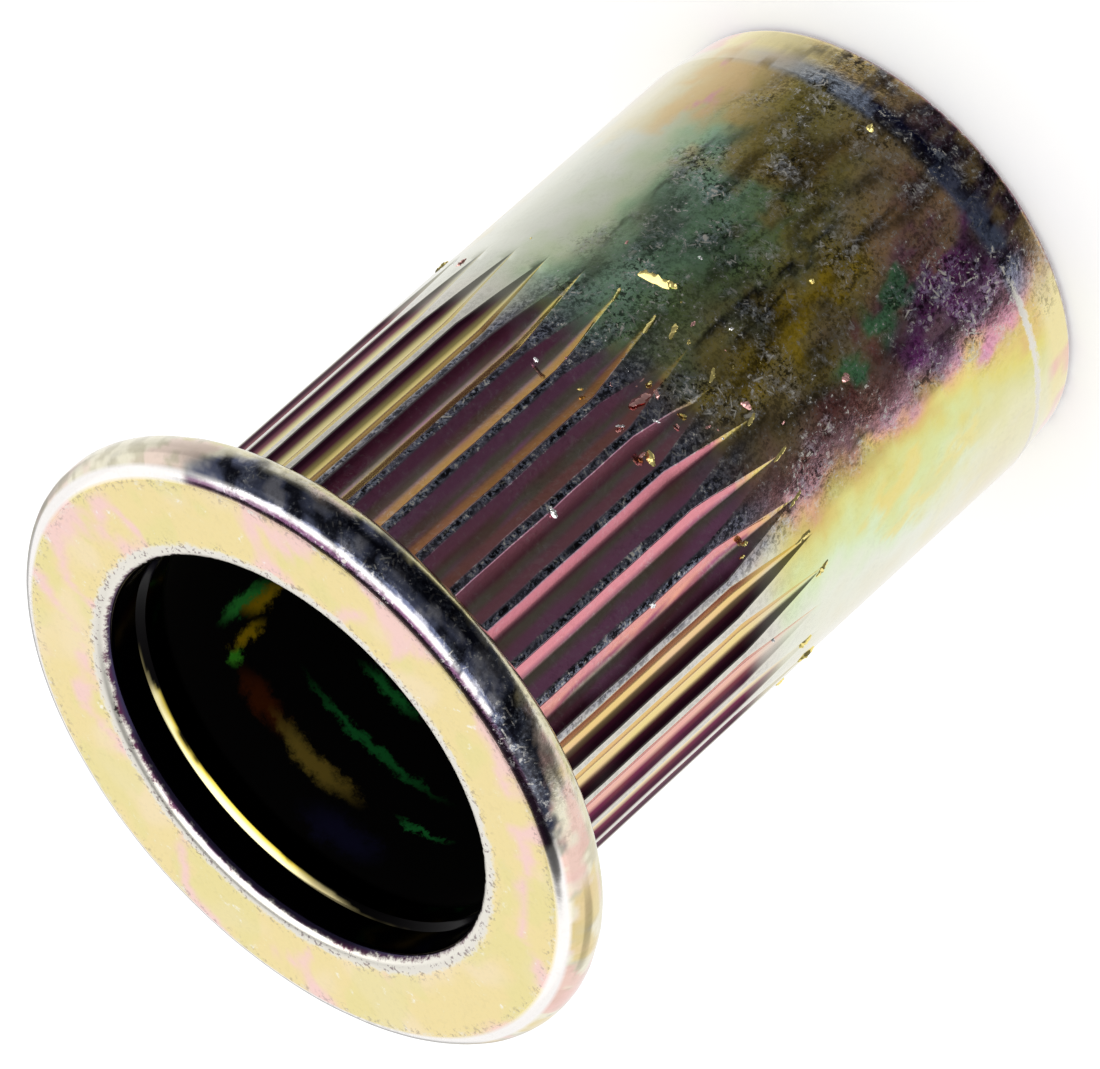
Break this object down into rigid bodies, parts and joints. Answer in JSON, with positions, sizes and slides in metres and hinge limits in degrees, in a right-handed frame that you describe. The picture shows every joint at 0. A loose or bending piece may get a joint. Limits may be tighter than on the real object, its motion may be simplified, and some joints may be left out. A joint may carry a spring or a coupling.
{
  "type": "rivet nut",
  "caption": "Flat-head ribbed rivet nut with an open end: a flanged steel tube with a wide thin-walled bore and a tapped far end, plated yellow.",
  "frame": {"origin": "centre of the plain end's face, which the nut stands on", "axes": "+Z along the nut's axis, from the plain end towards the flat head"},
  "size_m": [0.016, 0.016, 0.0205],
  "materials": {
    "yellow_zinc": "iridescent yellow-passivated zinc plating, tumbled and lightly scuffed"
  },
  "bodies": {
    "root": {"rivet_nut": "yellow_zinc"}
  },
  "joints": []
}
